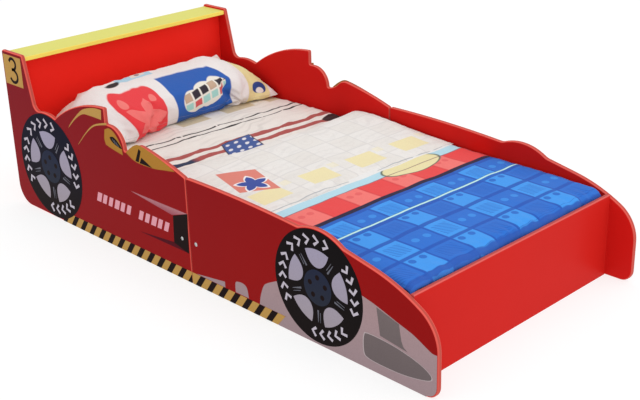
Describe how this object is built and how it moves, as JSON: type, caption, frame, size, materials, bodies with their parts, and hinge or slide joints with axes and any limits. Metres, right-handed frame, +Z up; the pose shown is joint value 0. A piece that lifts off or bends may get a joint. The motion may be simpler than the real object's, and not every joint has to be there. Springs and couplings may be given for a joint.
{
  "type": "toddler bed",
  "caption": "Toddler bed with race-car shaped flat side boards, a rear-wing shelf over the headboard, a slatted base, mattress, duvet and pillow.",
  "frame": {"origin": "on the floor, at the centre of the bed's footprint", "axes": "+Z up, +X along the bed towards its nose (the foot end), +Y towards the far side board"},
  "size_m": [1.618, 0.7496, 0.462],
  "materials": {
    "red_paint": "satin red lacquer on fibreboard",
    "yellow_paint": "satin pale yellow lacquer on fibreboard",
    "pine": "planed, unfinished",
    "beech": "plain dowel, unfinished",
    "zinc_steel": "zinc plated",
    "mattress_foam": "foam in a quilted cover",
    "sheet_cotton": "plain woven cotton",
    "duvet_cover": "printed polycotton",
    "pillow_cover": "printed polycotton"
  },
  "bodies": {
    "frame": {"corner_block_foot_far": "pine", "corner_block_foot_near": "pine", "corner_block_head_far": "pine", "corner_block_head_near": "pine", "end_screws": "zinc_steel", "fin_dowels": "beech", "footboard": "red_paint", "headboard": "red_paint", "headboard_dowels": "beech", "rail_far": "pine", "rail_near": "pine", "seam_bolts": "zinc_steel", "seam_dowels": "beech", "seam_nuts": "zinc_steel", "seam_washers": "zinc_steel", "side_front_far": "red_paint", "side_front_near": "red_paint", "side_rear_far": "red_paint", "side_rear_near": "red_paint", "side_screws": "zinc_steel", "slat_01": "pine", "slat_02": "pine", "slat_03": "pine", "slat_04": "pine", "slat_05": "pine", "slat_06": "pine", "slat_07": "pine", "slat_08": "pine", "slat_09": "pine", "slat_10": "pine", "slat_11": "pine", "slat_12": "pine", "slat_screws": "zinc_steel", "spoiler_shelf": "yellow_paint"},
    "mattress": {"mattress": "mattress_foam", "fitted_sheet": "sheet_cotton"},
    "duvet": {"duvet": "duvet_cover"},
    "pillow": {"pillow": "pillow_cover"}
  },
  "joints": [
    {"name": "mattress_lift", "type": "slide", "parent": "frame", "child": "mattress", "axis": [0, 0, 1], "range_m": [0, 0.36]},
    {"name": "duvet_lift", "type": "slide", "parent": "mattress", "child": "duvet", "axis": [0, 0, 1], "range_m": [0, 0.28]},
    {"name": "pillow_lift", "type": "slide", "parent": "mattress", "child": "pillow", "axis": [0, 0, 1], "range_m": [0, 0.28]}
  ]
}
